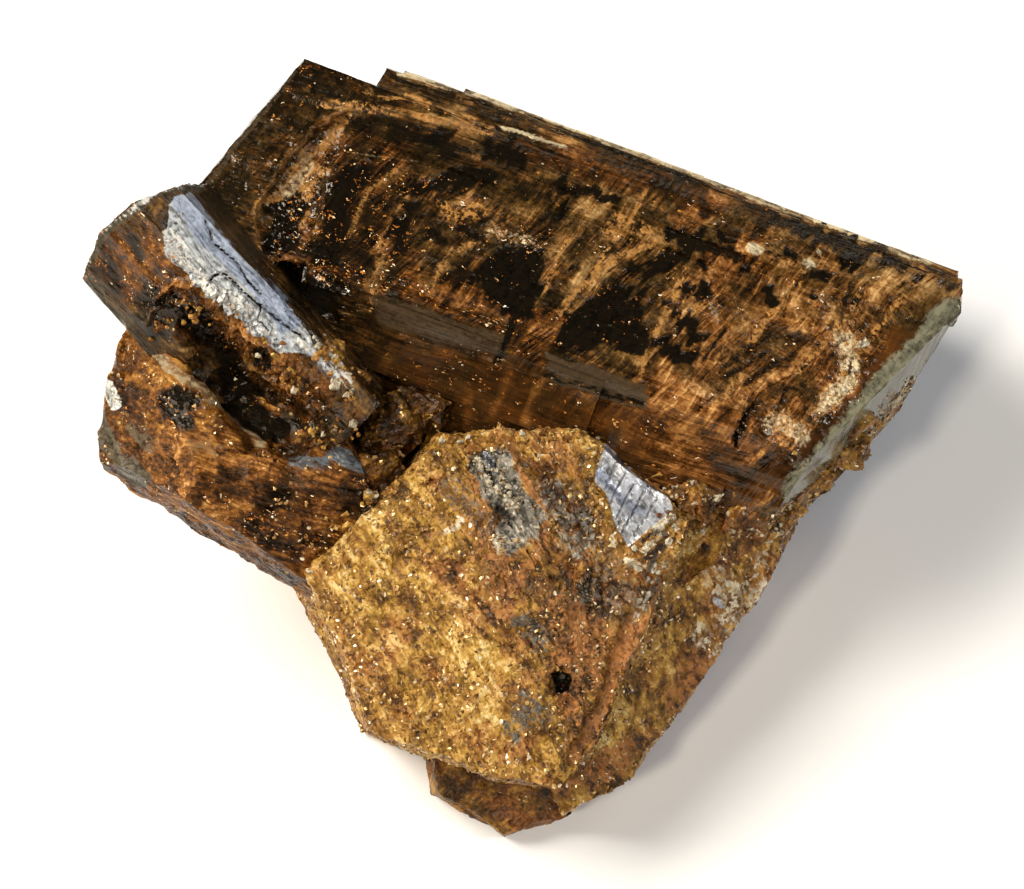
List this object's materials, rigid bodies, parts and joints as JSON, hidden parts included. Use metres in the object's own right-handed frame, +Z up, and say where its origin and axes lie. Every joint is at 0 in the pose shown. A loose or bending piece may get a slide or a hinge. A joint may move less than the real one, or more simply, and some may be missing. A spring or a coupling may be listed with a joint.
{
  "type": "uvite tourmaline specimen",
  "caption": "Cluster of brown six-sided tourmaline crystals grown together with mica crust, resting on a flat broken base as a display or study specimen.",
  "frame": {"origin": "on the surface it rests on, at the middle of its width and depth", "axes": "+Z up, +X to the right along the main crystal's longer way as seen from the show side, +Y away from the show side"},
  "size_m": [0.0894, 0.0813, 0.0521],
  "materials": {
    "tourmaline": "dark brown glassy crystal with gold-brown mica crust"
  },
  "bodies": {
    "root": {"crystal_cluster": "tourmaline"}
  },
  "joints": []
}
